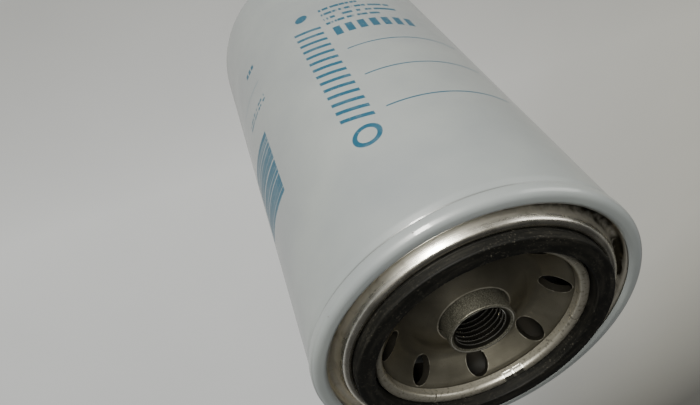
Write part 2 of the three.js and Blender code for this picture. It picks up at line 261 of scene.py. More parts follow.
# %% A material and its nodes
class Finish:
    """One material and its Object coordinates: x, y, z, radius in millimetres and azimuth in radians."""

    def __init__(self, name, **constants):
        self.material = bpy.data.materials.new(name)
        self.material.use_nodes = True
        self.tree = self.material.node_tree
        self.surface = self.tree.nodes["Principled BSDF"]
        for socket, value in constants.items():
            self.surface.inputs[socket.replace("_", " ")].default_value = value
        place = self.node("ShaderNodeTexCoord", output="Object")
        scaled = {0: place, "Scale": 1 / mm}
        self.place = self.node("ShaderNodeVectorMath", {"operation": "SCALE"}, scaled)
        self.x, self.y, self.z = (
            self.node("ShaderNodeSeparateXYZ", inputs={0: self.place}, output=axis) for axis in "XYZ"
        )
        self.radius = self.x.math("SQRT", self.x * self.x + self.y * self.y)
        self.azimuth = self.x.math("ARCTAN2", self.y, self.x)

    def node(self, kind, settings=None, inputs=None, output=0):
        """Any node: its settings first, then the values or links of its sockets."""
        node = self.tree.nodes.new(kind)
        for name, value in (settings or {}).items():
            setattr(node, name, value)
        for name, value in (inputs or {}).items():
            if isinstance(value, Socket):
                self.tree.links.new(value.output, node.inputs[name])
            else:
                node.inputs[name].default_value = value
        return Socket(self, node.outputs[output])

    def paint(self, **sockets):
        """Links what varies to the surface's own sockets, and returns the material."""
        for name, value in sockets.items():
            self.tree.links.new(value.output, self.surface.inputs[name.replace("_", " ")])
        return self.material


# %% [markdown]
# A few small tools do most of the drawing. Grain is noise at a size in millimetres, and around stretches it
# along the turn, for the marks that a spinning blank gets. Contrast and between turn a value into a mask
# with soft edges, mix lays one colour over another, and bump makes relief whose depth is given in
# millimetres.

# %% Drawing tools
def color(red, green, blue):
    """A colour given as it looks on a screen, 0 to 255, in the linear light that shaders use."""
    return tuple((channel / 255) ** 2.2 for channel in (red, green, blue)) + (1,)


def clamp(value):
    """The value, kept between 0 and 1."""
    return value.finish.node("ShaderNodeClamp", inputs={"Value": value})


def grain(finish, size, detail=3, place=None, roughness=0.55):
    """Noise from 0 to 1 whose features are about size millimetres across."""
    inputs = {"Vector": place or finish.place, "Scale": 1 / size, "Detail": detail, "Roughness": roughness}
    return finish.node("ShaderNodeTexNoise", inputs=inputs)


def contrast(value, middle, width):
    """0 below the middle, 1 above it, with a ramp of that width."""
    return clamp((value - (middle - width / 2)) * (1 / width))


def between(value, low, high, edge):
    """1 between low and high, with soft edges."""
    half = (high - low) / 2
    return clamp((half - abs(value - (low + high) / 2)) * (1 / edge) + 0.5)


def mix(share, low, high):
    """Lays the high colour over the low one."""
    finish = share.finish
    return finish.node("ShaderNodeMix", {"data_type": "RGBA"}, {0: share, 6: low, 7: high}, output=2)


def combine(finish, x, y, z):
    """Three values as one place."""
    return finish.node("ShaderNodeCombineXYZ", inputs={0: x, 1: y, 2: z})


STREAK_RADIUS = 40  # millimetres from the axis, where a streak is stretch times as long as it is wide
HEIGHT_SHARE = 1.3


def around(finish, stretch):
    """Coordinates in which noise becomes long streaks round the axis, with no break where the turn closes."""
    reach = STREAK_RADIUS / stretch
    across = finish.x / finish.radius * reach
    along = finish.y / finish.radius * reach
    return combine(finish, across, along, finish.radius + finish.z * HEIGHT_SHARE)


def bump(finish, height, depth):
    """Relief from height, where depth is what a height of 1 stands proud, in millimetres."""
    inputs = {"Height": height, "Distance": depth * mm, "Strength": 1}
    return finish.node("ShaderNodeBump", inputs=inputs)

# %% [markdown]
# ## White paint and its print
# The can is sprayed white and then printed on a mandrel in one teal ink. The print is drawn in the paint's
# own material, in millimetres round the can and up it, so it bends with the can and needs no picture. Every
# mark is a plain shape: bars, rules, dashes and a ring.

# %% Where a mark lies on the can
SEAM_BULGE = 0.4 * mm
can_radius = seam_radius - SEAM_BULGE
INK = color(0, 57, 74)
INK_EDGE = 0.12
LEAD_IN = 0.1  # keeps the soft edge of a row's first mark


class Print:
    """Marks on the can: across is millimetres round it from +X, up is millimetres from the closed end."""

    def __init__(self, finish):
        self.finish = finish
        self.across = finish.azimuth * (can_radius / mm)
        self.up = finish.z

    def block(self, left, right, bottom, top):
        """A filled rectangle."""
        return between(self.across, left, right, INK_EDGE) * between(self.up, bottom, top, INK_EDGE)

    def rule(self, left, right, up, height):
        """A line round the can, centred on its level."""
        return self.block(left, right, up - height / 2, up + height / 2)

    def ring(self, across, up, radius, width):
        """A circle's line, or a dot where the width is twice the radius."""
        distance = self.up.math("SQRT", (self.across - across) ** 2 + (self.up - up) ** 2)
        return between(distance, radius - width / 2, radius + width / 2, INK_EDGE)

    def repeat(self, value, start, pitch, share, count):
        """Marks that fill a share of each pitch, from start on."""
        phase = value.math("FRACT", (value - start) / pitch)
        run = between(value, start - LEAD_IN, start + pitch * count, INK_EDGE)
        return run * between(phase, 0, share, INK_EDGE / pitch)

    def dashes(self, left, right, up, height, seed):
        """One rule broken into irregular dashes."""
        breaks = grain(self.finish, 1.6, detail=1, place=combine(self.finish, self.across, seed, 0))
        return self.rule(left, right, up, height) * contrast(breaks, 0.45, 0.08)


# %% The marks themselves
LADDER_MIDDLE = 85.5  # round the can from +X
LADDER_LEAN = 0.42
RULE_LEVELS = (128.4, 109.4, 91.4)
RULE_HEIGHT = 0.56
DASHED_LINES = ((58.2, 64), (62.2, 53), (66.2, 51.5), (70, 59))  # level and left end
DASH_SEED = 10
SIDE_SEED = 100


def front_marks(ink):
    """The ladder between its ring and its dot, and the block of lines beside it."""
    lean = ink.up + (ink.across - LADDER_MIDDLE) * LADDER_LEAN
    marks = [
        ink.block(80.8, 90.4, 60, 133) * ink.repeat(lean, 67.5, 4.5, 0.38, 14),
        ink.ring(85.6, 136, 3.6, 1.5),
        ink.ring(85.4, 57.5, 1.2, 2.4),
        ink.block(40, 79, 74.2, 80.6) * ink.repeat(ink.across, 49.2, 4.3, 0.6, 7),
    ]
    marks += [ink.rule(38, 77.2, level, RULE_HEIGHT) for level in RULE_LEVELS]
    for line, (level, left) in enumerate(DASHED_LINES):
        marks.append(ink.dashes(left, 78.6, level, 1.7, DASH_SEED * line))
    return marks


def side_marks(ink):
    """Three blocks, a rule, two dashed lines and a striped patch, further round the can."""
    stripes = grain(ink.finish, 1.3, detail=2, place=combine(ink.finish, 0, 0, ink.up))
    return [
        ink.block(110, 118, 52.9, 55.6) * ink.repeat(ink.across, 111, 2.1, 0.75, 3),
        ink.block(110.8, 127, 66.2, 66.5),
        ink.dashes(110.8, 125, 77, 1.2, SIDE_SEED),
        ink.dashes(110.8, 125, 79.3, 1.2, SIDE_SEED + DASH_SEED),
        ink.block(116.6, 138, 92.5, 125.2) * contrast(stripes, 0.44, 0.05),
    ]


def printed_marks(finish):
    """One mask for everything that is printed."""
    ink = Print(finish)
    marks = front_marks(ink) + side_marks(ink)
    total = marks[0]
    for mark in marks[1:]:
        total = total.math("MAXIMUM", total, mark)
    return total


# %% [markdown]
# The paint is semi-gloss. It shows faint clouds where it went on thicker, handling dust as fine specks, a
# few chips on the rolled edge where it is knocked, and the soft waviness of sprayed enamel.

# %% White paint
def white_paint():
    paint = Finish("white_paint", Coat_Roughness=0.08, Specular_IOR_Level=0.5)
    clouds = grain(paint, 26, detail=4)
    body = mix(contrast(clouds, 0.5, 0.5), color(96, 100, 102), color(107, 111, 110))
    specks = contrast(grain(paint, 1.1, detail=2), 0.745, 0.03)
    dust = contrast(grain(paint, 0.35, detail=1), 0.72, 0.05) * contrast(clouds, 0.55, 0.2)
    body = mix(specks * 0.35, body, color(120, 116, 108))
    body = mix(dust * 0.12, body, color(150, 148, 142))
    worn = contrast(grain(paint, 7, detail=5), 0.56, 0.06)
    ink = printed_marks(paint) * (1 - contrast(grain(paint, 0.8, detail=3), 0.68, 0.1) * 0.5)
    body = mix(ink * (1 - worn * 0.1), body, INK)
    edge = contrast(paint.radius, seam_radius / mm - 0.35, 0.2) * contrast(paint.z, mouth / mm - 4, 0.5)
    chips = edge * contrast(grain(paint, 1.6, detail=3), 0.735, 0.02)
    body = mix(chips, body, color(58, 54, 50))
    # painted shade: a dark band on the neck under the seam's roll, where the crease is shaded
    neck_level = mouth / mm - 3
    crevice_shade = between(paint.z, neck_level - 0.75, neck_level + 0.2, 0.35)
    body = mix(crevice_shade * 0.7, body, color(62, 64, 62))
    # the can's inside is unpainted, so it has no coat; its near-black colour is painted shade that keeps it
    # dark through the inlets
    unpainted_shaded_inside = 1 - contrast(paint.radius, can_radius / mm - 0.45, 0.1)
    unpainted_shaded_inside = unpainted_shaded_inside * between(paint.z, 9, mouth / mm - 6, 0.1)
    body = mix(unpainted_shaded_inside, body, color(44, 42, 38))
    wave = grain(paint, 3.2, detail=2) * 0.8 + grain(paint, 0.9, detail=1) * 0.2
    return paint.paint(
        Base_Color=body,
        Roughness=grain(paint, 9) * 0.12 + 0.3,
        Coat_Weight=(1 - unpainted_shaded_inside) * (0.5 - ink * 0.5),
        Normal=bump(paint, wave - chips * 2, 0.012),
    )


# %% [markdown]
# ## The can
# A press draws the can from one disc, so its wall is one sheet from the recessed panel of the closed end,
# over the foot and up the side. Below the mouth it necks in, and the edge is rolled over the gasket
# retainer to lock it. Only the outer face is drawn; the wall goes on behind it.

# %% Can shell
CAN_WALL = 0.8 * mm
CORNER = 9.3 * mm
FOOT_WIDTH = 7 * mm
PANEL_RECESS = 1.5 * mm
PANEL_SLOPE = 2 * mm
PANEL_ROUND = 1.1 * mm
BEAD_SETBACK = 12.4 * mm  # of the stiffening bead in the panel, inside the foot
BEAD_HALF = 0.6 * mm
BEAD_HEIGHT = 0.5 * mm
BEAD_ROUND = 0.35 * mm
SHOULDER_DROP = 5.4 * mm
NECK_DROP = 3.5 * mm
NECK_STEP = 0.5 * mm
CREVICE_DROP = 3 * mm
CREVICE_DEPTH = 1.2 * mm
SEAM_LOWER = 2.8 * mm
SEAM_WIDTH = 4.2 * mm
SEAM_INNER_RUN = 0.7 * mm
foot_inner = can_radius - CORNER - FOOT_WIDTH
bead_radius = foot_inner - BEAD_SETBACK
seam_inner = seam_radius - SEAM_WIDTH

can = pressed_ring(
    "can",
    [
        (0, PANEL_RECESS),
        (bead_radius - BEAD_HALF, PANEL_RECESS),
        (bead_radius, PANEL_RECESS + BEAD_HEIGHT, BEAD_ROUND),
        (bead_radius + BEAD_HALF, PANEL_RECESS, BEAD_ROUND),
        (foot_inner - PANEL_SLOPE, PANEL_RECESS, PANEL_ROUND),
        (foot_inner, 0, PANEL_ROUND),
        (can_radius, 0, CORNER),
        (can_radius, mouth - SHOULDER_DROP, 0.4 * mm),
        (can_radius - NECK_STEP, mouth - NECK_DROP, 0.3 * mm),
        (can_radius - CREVICE_DEPTH, mouth - CREVICE_DROP, 0.08 * mm),
        (seam_radius, mouth - SEAM_LOWER, 0.5 * mm),
        (seam_radius, can_high.z, 1.9 * mm),
        (seam_inner + SEAM_INNER_RUN, can_high.z, 0.55 * mm),
        (seam_inner, mouth),
    ],
    CAN_WALL,
    looks_up=False,
    steps=FINE_STEPS,
)
stands_for(can, "can_shell", "housing", white_paint())

# %% [markdown]
# ## Bright pressed steel
# Tin plate keeps the lines of the blank that was spun in the press: streaks round the axis. The trough beside
# the seam is painted darker than the ridge in cloudy patches, most of all on the +x side; this is painted
# shade. The tool mark in the lip is two hollow cells with bright edges.

# %% Tin plate
def tin_plate():
    steel = Finish("tin_plate", Specular_Tint=color(235, 228, 212), Anisotropic=0.25)
    streaks = grain(steel, 0.5, detail=4, place=around(steel, 30))
    clouds = grain(steel, 6, detail=4)
    body = mix(streaks, color(204, 200, 187), color(230, 226, 214))
    level = steel.z - mouth / mm
    # painted shade: the trough is darkened to near black in cloudy patches, most of all on the +x side
    low = 1 - contrast(level, -1.3, 2.4)
    shaded_side = contrast(steel.x, 8, 60) * 0.9 + 0.25
    trough_shade = low * contrast(clouds, 0.36, 0.4) * shaded_side
    body = mix(trough_shade, body, color(28, 26, 20))
    stain = contrast(grain(steel, 3.2, detail=5), 0.62, 0.12)
    body = mix(stain * 0.25, body, color(104, 98, 80))
    lip = 1 - contrast(steel.radius, groove_inner / mm, 0.4)
    body = mix(lip * 0.7, body, color(104, 101, 90))
    scuffs = lip * contrast(grain(steel, 0.9, detail=5), 0.6, 0.1)
    body = mix(scuffs * 0.5, body, color(66, 63, 53))
    turned = steel.azimuth - (MARK_TURN - 2 * math.pi)
    mark = lip * between(turned, -0.12, 0.12, 0.01) * contrast(level, -0.8, 0.3)
    cells = between(turned, -0.1, -0.014, 0.006) + between(turned, 0.014, 0.1, 0.006)
    cells = mark * cells
    body = mix(mark, body, color(214, 212, 202))
    body = mix(cells * 0.75, body, color(96, 94, 86))
    return steel.paint(
        Base_Color=body,
        Metallic=1 - trough_shade * 0.35 - (lip - mark) * 0.15,
        Roughness=clouds * 0.16 + streaks * 0.12 + low * 0.12 + lip * 0.1 + mark * 0.1 + 0.12,
        Normal=bump(steel, (streaks + clouds) * 0.03 - cells, 0.1),
    )


# %% [markdown]
# ## The gasket retainer
# This thin stamping is locked into the can's mouth by its flange. Inwards it runs through a trough, over a
# rounded ridge and down into the groove that holds the gasket, and it ends in a rolled lip. The lip is slit
# so that it can be closed over the plate, and one broad tool mark shows where it was pressed home.

# %% Retainer sheet
gasket_low, gasket_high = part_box("main_gasket")
_, retainer_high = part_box("gasket_retainer")
_, plate_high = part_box("base_plate")
RETAINER_WALL = 0.8 * mm
FIT = 0.2 * mm
HAIR_GAP = 0.02 * mm  # between pieces that touch
GASKET_WIDTH = 5.1 * mm
FLANGE_DROP = 0.75 * mm
TROUGH_DROP = 3.4 * mm
TROUGH_WIDTH = 1.9 * mm
RIDGE_WIDTH = 2.1 * mm
LIP_WIDTH = 2.8 * mm
LIP_RISE = 1.1 * mm
LIP_CLEARANCE = 0.2 * mm
gasket_outer = gasket_high.x
gasket_inner = gasket_outer - GASKET_WIDTH
groove_outer = gasket_outer + FIT
groove_inner = gasket_inner - FIT
groove_floor = gasket_low.z - HAIR_GAP
wall_radius = seam_inner - FIT
trough_floor = mouth - TROUGH_DROP
lip_inner = groove_inner - LIP_WIDTH
lip_top = mouth + LIP_RISE

retainer = pressed_ring(
    "retainer",
    [
        (retainer_high.x, mouth - FLANGE_DROP),
        (wall_radius, mouth - FLANGE_DROP, 0.85 * mm),
        (wall_radius, trough_floor, 1.1 * mm),
        (wall_radius - TROUGH_WIDTH, trough_floor, 0.7 * mm),
        (groove_outer + RIDGE_WIDTH, retainer_high.z, 0.95 * mm),
        (groove_outer, retainer_high.z, 1 * mm),
        (groove_outer, groove_floor),
        (groove_inner, groove_floor),
        (groove_inner, lip_top, 1 * mm),
        (lip_inner, lip_top, 1.5 * mm),
        (lip_inner, plate_high.z + LIP_CLEARANCE),
    ],
    RETAINER_WALL,
    looks_up=True,
    steps=FINE_STEPS,
)

# %% [markdown]
# Slits are sawn with thin blades: small boxes made into one mesh, and taken away with a Boolean. The cutter
# is deleted once its work is done, so that the finished piece carries no live modifier.

# %% Cutting tools
def cutter_box(bm, size, place, turn):
    """Adds a box of that size at (radius, 0, height), turned about Z, to a cutter."""
    matrix = Matrix.Rotation(turn, 4, "Z") @ Matrix.Translation(place) @ Matrix.Diagonal((*size, 1))
    bmesh.ops.create_cube(bm, size=1, matrix=matrix)


def carve(piece, bm):
    """Takes the closed shapes in bm away from a piece."""
    cutter = to_piece(bm, "cutter")
    modifier = piece.modifiers.new("carve", "BOOLEAN")
    modifier.object = cutter
    modifier.operation = "DIFFERENCE"
    modifier.solver = "EXACT"
    view = bpy.context.evaluated_depsgraph_get()
    carved = bpy.data.meshes.new_from_object(piece.evaluated_get(view))
    piece.modifiers.clear()
    piece.data = carved
    bpy.data.objects.remove(cutter)
    smooth_all(carved)
    print(f"{piece.name}: carved, {len(carved.polygons)} faces")


# %% Slits in the lip
SLIT_PLACES = 7  # round the lip, one of which holds the tool mark
SLIT_SIZE = (4 * mm, 0.5 * mm, 3 * mm)
MARK_TURN = math.radians(288)
MARK_SIZE = (4 * mm, 7 * mm, 2 * mm)
MARK_SETBACK = 1 * mm
MARK_RISE = 0.5 * mm

slits = bmesh.new()
for index in range(1, SLIT_PLACES):
    turn = MARK_TURN + index * 2 * math.pi / SLIT_PLACES
    cutter_box(slits, SLIT_SIZE, Vector((lip_inner, 0, lip_top)), turn)
cutter_box(slits, MARK_SIZE, Vector((lip_inner + MARK_SETBACK, 0, lip_top + MARK_RISE)), MARK_TURN)
carve(retainer, slits)
stands_for(retainer, "gasket_retainer", "housing", tin_plate())

# %% [markdown]
# ## The main gasket
# A square-section ring moulded in nitrile rubber. It is matt, with a parting line round its outside and
# pale dust caught in its skin.

# %% Black rubber
def black_rubber(name, shade):
    rubber = Finish(name, Specular_IOR_Level=0.12)
    clouds = grain(rubber, 5, detail=5)
    dust = contrast(grain(rubber, 0.45, detail=2), 0.66, 0.1) * contrast(clouds, 0.5, 0.3)
    streaks = contrast(grain(rubber, 1.2, detail=4, place=around(rubber, 12)), 0.58, 0.2)
    body = mix(clouds, color(*(channel * 0.8 for channel in shade)), color(*shade))
    body = mix(dust * 0.3 + streaks * 0.04, body, color(104, 100, 90))
    return rubber.paint(
        Base_Color=body,
        Roughness=clouds * 0.2 + 0.55 + dust * 0.2,
        Normal=bump(rubber, grain(rubber, 0.3, detail=3) + clouds, 0.02),
    )


# %% Gasket
GASKET_EDGE = 0.5 * mm
PARTING = 0.12 * mm
parting_level = (gasket_low.z + gasket_high.z) / 2
gasket = turned_ring(
    "gasket",
    [
        (gasket_inner, gasket_low.z, GASKET_EDGE),
        (gasket_outer, gasket_low.z, GASKET_EDGE),
        (gasket_outer, parting_level - PARTING),
        (gasket_outer + PARTING, parting_level, 0.05 * mm),
        (gasket_outer, parting_level + PARTING),
        (gasket_outer, gasket_high.z, GASKET_EDGE),
        (gasket_inner, gasket_high.z, GASKET_EDGE),
    ],
    steps=FINE_STEPS,
)
gasket_rubber = black_rubber("gasket_rubber", (15, 15, 13))
stands_for(gasket, "main_gasket", "housing", gasket_rubber)

# %% [markdown]
# ## The base plate
# The plate carries the whole pull of the stud, so it is thick. It is pressed into a dish with a raised cone
# round the hub. The inlets are punched square to the dish's flank, so the punch is an oval rod tipped to
# the flank's slope, and the plate is carved with a ring of them.

# %% Grey steel
def inlet_reach(finish):
    """1 on the wall of the nearest inlet, and more outside it."""
    step = 2 * math.pi / INLETS
    turn = (finish.x.math("FRACT", finish.azimuth / step + 0.5) - 0.5) * step
    out = finish.radius * finish.x.math("COSINE", turn) - inlet_radius / mm
    side = finish.radius * finish.x.math("SINE", turn)
    along = out * math.cos(flank_slope) + (finish.z - inlet_level / mm) * math.sin(flank_slope)
    return finish.x.math(
        "SQRT", (along / (INLET_HALF_LENGTH / mm)) ** 2 + (side / (INLET_HALF_WIDTH / mm)) ** 2
    )


def grey_steel():
    steel = Finish("grey_steel", Specular_Tint=color(225, 216, 198))
    clouds = grain(steel, 8, detail=5)
    streaks = grain(steel, 0.8, detail=4, place=around(steel, 25))
    pits = contrast(grain(steel, 0.5, detail=3), 0.66, 0.08)
    body = mix(clouds, color(94, 92, 82), color(122, 119, 108))
    body = mix(streaks * 0.4, body, color(94, 91, 81))
    body = mix(pits * 0.5, body, color(62, 56, 48))
    oil = contrast(grain(steel, 14, detail=3), 0.5, 0.3)
    body = mix(oil * 0.25, body, color(82, 77, 64))
    reach = inlet_reach(steel)
    # painted shade: the walls of the inlets are painted near black and dull
    wall = 1 - contrast(reach, 1.015, 0.02)
    # painted highlight: a broken bright ring round each inlet's edge
    inlet_rim_highlight = between(reach, 1.02, 1.065, 0.02) * contrast(grain(steel, 2.4), 0.52, 0.2)
    # painted highlight: a bright ring on the edge of the hub hole
    hub_hole_highlight = between(steel.radius, hub_hole / mm, hub_hole / mm + 0.35, 0.1) * contrast(clouds, 0.45, 0.3)
    body = mix(wall, body, color(14, 14, 12))
    body = mix(inlet_rim_highlight * 0.7 + hub_hole_highlight * 0.6, body, color(206, 202, 188))
    return steel.paint(
        Base_Color=body,
        Metallic=0.9 - pits * 0.3 - wall * 0.6,
        Roughness=clouds * 0.16 + streaks * 0.1 + 0.3 - oil * 0.08 + wall * 0.4,
        Normal=bump(steel, clouds + streaks * 0.6 - pits * 0.4, 0.02),
    )


# %% Plate
PLATE_WALL = 2.5 * mm
FLANK_SETBACK = 0.4 * mm
FLOOR_WIDTH = 3.3 * mm
FLOOR_RISE = 0.2 * mm
HUB_RADIUS = 9.6 * mm
HUB_GAP = 0.9 * mm
CONE_RUN = 7.6 * mm
CONE_RISE = 3.7 * mm
VALLEY_DROP = 8.8 * mm
hub_hole = HUB_RADIUS + HUB_GAP
valley_radius = hub_hole + CONE_RUN
valley_level = mouth - VALLEY_DROP
cone_top = valley_level + CONE_RISE * (valley_radius - HUB_RADIUS) / CONE_RUN
flank_top = lip_inner - FLANK_SETBACK
flank_foot = valley_radius + FLOOR_WIDTH
foot_level = valley_level + FLOOR_RISE
flank_slope = math.atan2(plate_high.z - foot_level, flank_top - flank_foot)

plate = pressed_ring(
    "plate",
    [
        (plate_high.x, plate_high.z),
        (flank_top, plate_high.z, 1.1 * mm),
        (flank_foot, foot_level, 1.2 * mm),
        (valley_radius, valley_level, 1.1 * mm),
        (HUB_RADIUS, cone_top),
    ],
    PLATE_WALL,
    looks_up=True,
    steps=FINE_STEPS,
)

# %% Inlets and hub hole
INLETS = 8
INLET_HALF_WIDTH = 3.15 * mm
INLET_HALF_LENGTH = 4.45 * mm
INLET_SETBACK = 3.7 * mm
PUNCH_SIDES = 40
PUNCH_LENGTH = 12 * mm
inlet_radius = lip_inner - INLET_SETBACK
inlet_level = foot_level + (inlet_radius - flank_foot) * math.tan(flank_slope)

punches = bmesh.new()
for index in range(INLETS):
    place = (
        Matrix.Rotation(index * 2 * math.pi / INLETS, 4, "Z")
        @ Matrix.Translation((inlet_radius, 0, inlet_level))
        @ Matrix.Rotation(-flank_slope, 4, "Y")
        @ Matrix.Diagonal((INLET_HALF_LENGTH, INLET_HALF_WIDTH, PUNCH_LENGTH, 1))
    )
    bmesh.ops.create_cone(
        punches, cap_ends=True, segments=PUNCH_SIDES, radius1=1, radius2=1, depth=1, matrix=place
    )
bmesh.ops.create_cone(
    punches, cap_ends=True, segments=FINE_STEPS, radius1=hub_hole, radius2=hub_hole,
    depth=3 * PUNCH_LENGTH, matrix=Matrix.Translation((0, 0, valley_level)),
)
carve(plate, punches)
stands_for(plate, "base_plate", "housing", grey_steel())
print("inlets on a flank of", round(math.degrees(flank_slope)), "degrees")

# %% [markdown]
# ## The threaded hub
# The hub is the only turned piece: a short bush with a flange under the plate, threaded M16 by 1.5. A spin
# can climb as it turns, so one V-shaped section spun round many times is the thread's groove, and it is
# carved from the bore. The skin is dark and grainy. The bore is painted darker as painted shade, and the
# thread's crests and a thin ring round the hub's mouth are painted bright as painted highlights.

# %% Dark steel
hub_low, hub_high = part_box("threaded_hub")


def dark_steel():
    steel = Finish("dark_steel", Specular_Tint=color(220, 214, 200))
    sand = grain(steel, 0.28, detail=3)
    clouds = grain(steel, 4, detail=4)
    body = mix(contrast(sand, 0.55, 0.25), color(76, 75, 67), color(134, 132, 120))
    body = mix(clouds * 0.5, body, color(52, 51, 46))
    # painted shade: the bore is painted darker than the skin
    shaded_bore = 1 - contrast(steel.radius, 8.3, 0.2)
    # painted highlight: the thread's crests are painted bright and glossy
    crest_highlight = shaded_bore * (1 - contrast(steel.radius, 7.36, 0.14))
    # painted highlight: a thin bright ring round the hub's mouth
    mouth_highlight = between(steel.radius, 8.85, 9.15, 0.1) * contrast(steel.z, hub_high.z / mm - 0.35, 0.2)
    mouth_highlight = mouth_highlight * contrast(clouds, 0.5, 0.3)
    body = mix(shaded_bore, body, color(34, 33, 30))
    body = mix(crest_highlight + mouth_highlight * 0.6, body, color(214, 212, 204))
    return steel.paint(
        Base_Color=body,
        Metallic=0.8 + crest_highlight * 0.2,
        Roughness=(1 - shaded_bore) * (sand * 0.22 + 0.34) + shaded_bore * 0.34 - crest_highlight * 0.2,
        Normal=bump(steel, sand * (1 - shaded_bore * 0.93), 0.04),
    )


# %% Hub body
BORE_MINOR = 7.19 * mm
BORE_MAJOR = 8.0 * mm
THREAD_PITCH = 1.5 * mm
THREAD_DEPTH = 16.5 * mm
RELIEF = 0.2 * mm
RELIEF_RUN = 0.8 * mm
COUNTERSINK = 0.8 * mm
COUNTERSINK_DEPTH = 1.15 * mm
HUB_STEPS = 144
HUB_CHAMFER = 0.3 * mm
HUB_ROUND = 0.4 * mm
SPIGOT = 16 * mm
FLANGE_RIM = 3 * mm
FLANGE_HEIGHT = 5.87 * mm
relief_radius = BORE_MAJOR + RELIEF
thread_end = hub_high.z - THREAD_DEPTH
flange_bottom = hub_low.z + SPIGOT
hub = turned_ring(
    "hub",
    [
        (HUB_RADIUS, hub_high.z, HUB_CHAMFER),
        (BORE_MAJOR + COUNTERSINK, hub_high.z, 0.12 * mm),
        (BORE_MINOR, hub_high.z - COUNTERSINK_DEPTH),
        (BORE_MINOR, thread_end),
        (relief_radius, thread_end - RELIEF_RUN),
        (relief_radius, hub_low.z, 0.2 * mm),
        (HUB_RADIUS, hub_low.z, HUB_CHAMFER),
        (HUB_RADIUS, flange_bottom, HUB_ROUND),
        (hub_high.x, flange_bottom, HUB_ROUND),
        (hub_high.x, flange_bottom + FLANGE_RIM, HUB_ROUND),
        (HUB_RADIUS, flange_bottom + FLANGE_HEIGHT, HUB_ROUND),
    ],
    steps=HUB_STEPS,
)

# %% Thread
THREAD_STEPS = 72
GROOVE_HALF = 0.7 * mm
ROOT_HALF = 0.12 * mm
OVERCUT = 0.2 * mm  # of the groove's open side, past the bore's wall
groove_turns = round(THREAD_DEPTH / THREAD_PITCH) + 1
groove_top = hub_high.z + THREAD_PITCH / 2
groove = bmesh.new()
outline = [
    groove.verts.new(Vector((radius, 0, groove_top + height)))
    for radius, height in (
        (BORE_MINOR - OVERCUT, GROOVE_HALF),
        (BORE_MAJOR, ROOT_HALF),
        (BORE_MAJOR, -ROOT_HALF),
        (BORE_MINOR - OVERCUT, -GROOVE_HALF),
    )
]
groove.faces.new(outline)
bmesh.ops.spin(
    groove, geom=groove.verts[:] + groove.edges[:] + groove.faces[:], cent=(0, 0, 0), axis=(0, 0, 1),
    dvec=(0, 0, -THREAD_PITCH / THREAD_STEPS), angle=2 * math.pi * groove_turns,
    steps=THREAD_STEPS * groove_turns, use_merge=False, use_duplicate=False,
)
bmesh.ops.recalc_face_normals(groove, faces=groove.faces[:])
carve(hub, groove)
stands_for(hub, "threaded_hub", "housing", dark_steel())

# %% [markdown]
# ## Sealing compound
# A thin ring of compound is squeezed flat between the retainer's flange and the crown of the seam. It is
# one closed section spun round, with soft corners, because nothing presses it into sharp ones.

# %% Plain finish for inner pieces
def soft_finish(name, pale, dark, size, roughness, relief):
    """A matt, slightly mottled material: compound, adhesive, rubber seals."""
    soft = Finish(name, Specular_IOR_Level=0.4)
    clouds = grain(soft, size, detail=5)
    pores = contrast(grain(soft, size / 12, detail=2), 0.68, 0.08)
    body = mix(clouds, color(*dark), color(*pale))
    body = mix(pores * 0.5, body, color(*(channel * 0.6 for channel in dark)))
    return soft.paint(
        Base_Color=body,
        Roughness=clouds * 0.2 + roughness,
        Normal=bump(soft, clouds * 2 - pores, relief),
    )


# %% Seam compound
compound_low, compound_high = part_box("seam_compound")
COMPOUND_SETBACK = 1.5 * mm
COMPOUND_ROUND = 0.2 * mm
compound_inner = seam_inner + COMPOUND_SETBACK
compound = turned_ring(
    "compound",
    [
        (compound_inner, compound_low.z, COMPOUND_ROUND),
        (compound_high.x, compound_low.z, COMPOUND_ROUND),
        (compound_high.x, compound_high.z, COMPOUND_ROUND),
        (compound_inner, compound_high.z, COMPOUND_ROUND),
    ],
)
compound_finish = soft_finish("compound_grey", (132, 136, 136), (104, 108, 110), 3, 0.75, 0.02)
stands_for(compound, "seam_compound", "housing", compound_finish)

# %% [markdown]
# ## Inside the can: spring and seat
# Zinc-plated pressings line up the spring. The plating shows a fine crystal pattern and the streaks of the
# rolled strip under it, and both are drawn from noise at their real size.

# %% Zinc-plated steel
def zinc_steel(name):
    zinc = Finish(name, Specular_Tint=color(232, 236, 240))
    crystals = {"Vector": zinc.place, "Scale": 0.6}
    spangle = zinc.node("ShaderNodeTexVoronoi", inputs=crystals, output="Distance")
    rolled = grain(zinc, 0.7, detail=4, place=around(zinc, 30))
    clouds = grain(zinc, 9, detail=4)
    body = mix(spangle, color(150, 154, 158), color(186, 190, 192))
    body = mix(rolled * 0.4, body, color(132, 136, 138))
    bloom = contrast(clouds, 0.6, 0.15)
    body = mix(bloom * 0.3, body, color(196, 198, 196))
    return zinc.paint(
        Base_Color=body,
        Metallic=1 - bloom * 0.3,
        Roughness=spangle * 0.1 + rolled * 0.12 + 0.24 + bloom * 0.15,
        Normal=bump(zinc, rolled + spangle, 0.008),
    )


# %% Spring seat
seat_low, seat_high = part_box("spring_seat")
SEAT_WALL = 0.8 * mm
spring_low, spring_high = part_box("coil_spring")
SPRING_RADIUS = 17 * mm
WIRE = 2.4 * mm
SEAT_MARGIN = 1.6 * mm
SEAT_ROUND = 0.8 * mm
seat_inner = SPRING_RADIUS - WIRE / 2 - SEAT_MARGIN
seat_outer = seat_high.x
seat_floor = seat_low.z + SEAT_WALL
seat = pressed_ring(
    "spring_seat_ring",
    [
        (seat_outer, seat_high.z),
        (seat_outer - SEAT_WALL, seat_floor, SEAT_ROUND),
        (seat_inner, seat_floor),
    ],
    SEAT_WALL,
    looks_up=True,
)
stands_for(seat, "spring_seat", "housing", zinc_steel("zinc_seat"))

